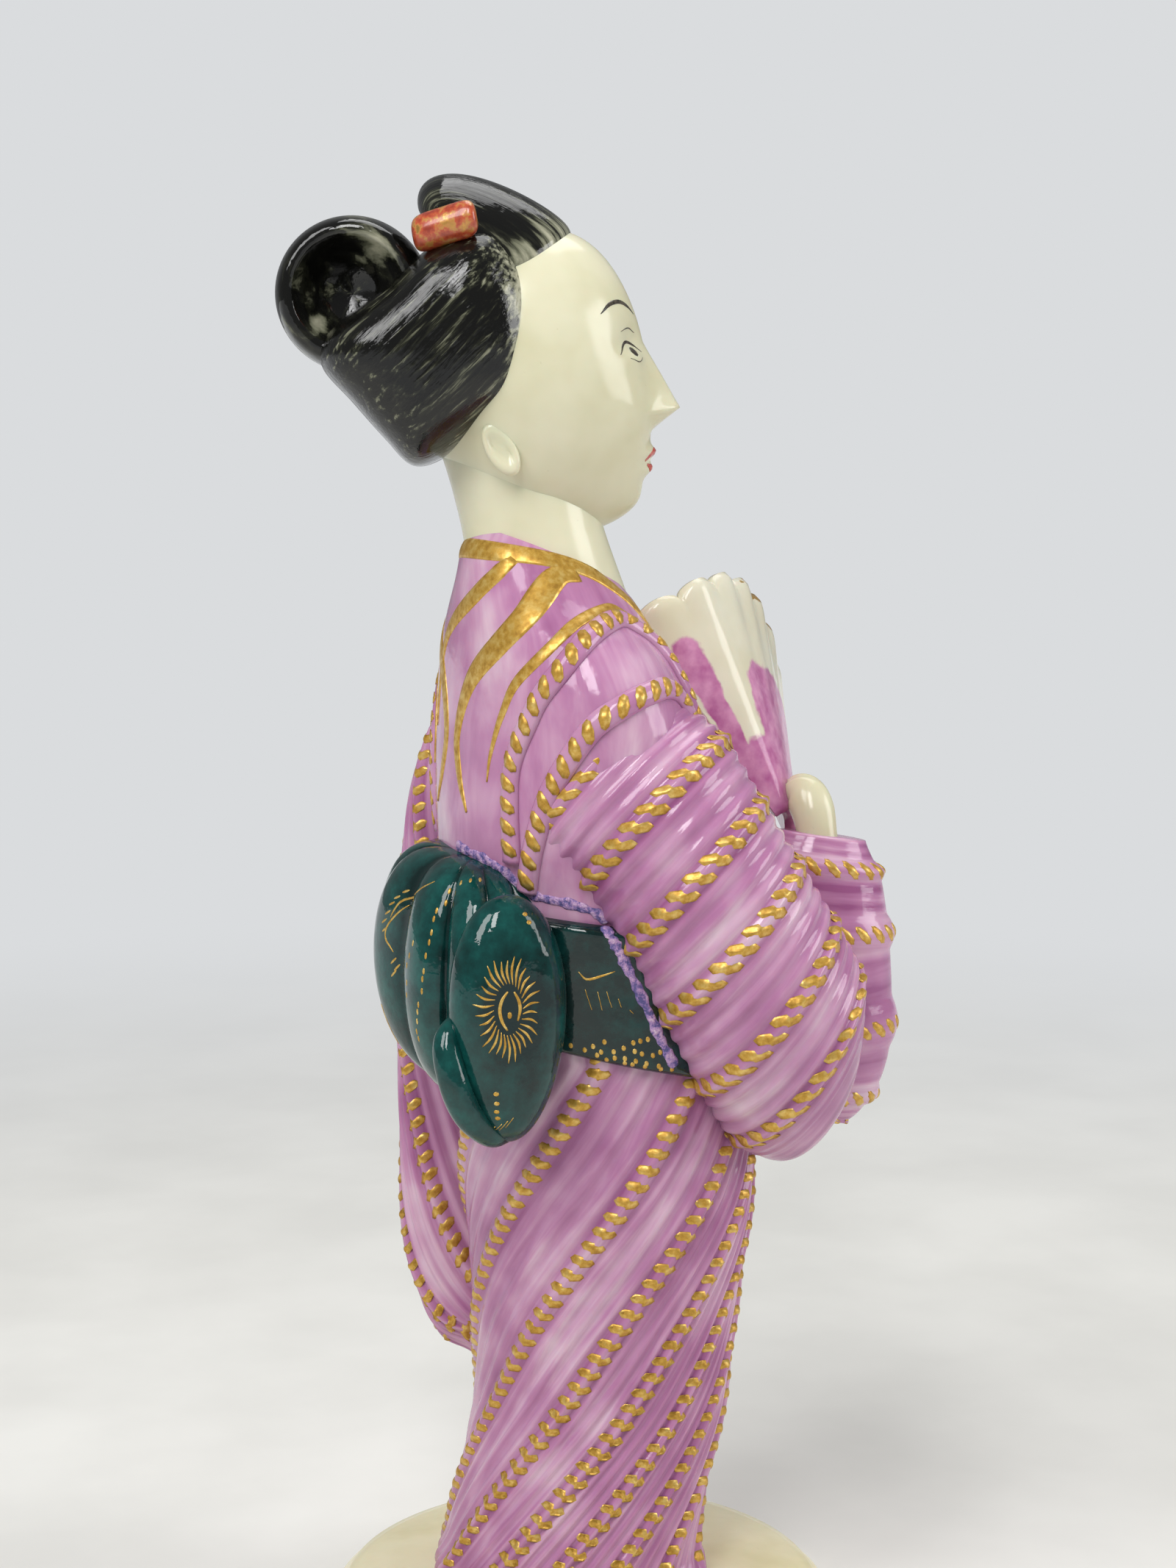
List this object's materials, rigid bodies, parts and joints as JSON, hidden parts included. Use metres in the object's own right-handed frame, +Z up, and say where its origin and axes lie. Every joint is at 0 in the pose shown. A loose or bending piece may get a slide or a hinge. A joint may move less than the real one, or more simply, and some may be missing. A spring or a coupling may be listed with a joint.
{
  "type": "porcelain geisha figurine",
  "caption": "Standing lady in a corded kimono with sash, bow and hanging sleeve, holding an open fan to her chest, cast in one piece on a low round mound.",
  "frame": {"origin": "centre of the mound's flat underside, on the surface it stands on", "axes": "+Z up along the figure, -Y the way her body faces, -X her right side"},
  "size_m": [0.0931, 0.1073, 0.2607],
  "materials": {
    "robe_glaze": "orchid pink brushed enamel under a clear gloss glaze",
    "skin_glaze": "bare cream body under a clear gloss glaze",
    "hair_glaze": "black brushed enamel, streaked, high gloss",
    "sash_glaze": "deep teal pooled gloss glaze",
    "gilding": "burnished gold, worn on the shoulder",
    "comb_enamel": "coral red enamel with a gold lustre",
    "mound_glaze": "cream body under a clear gloss glaze"
  },
  "bodies": {
    "root": {"figurine": "robe_glaze"}
  },
  "joints": []
}
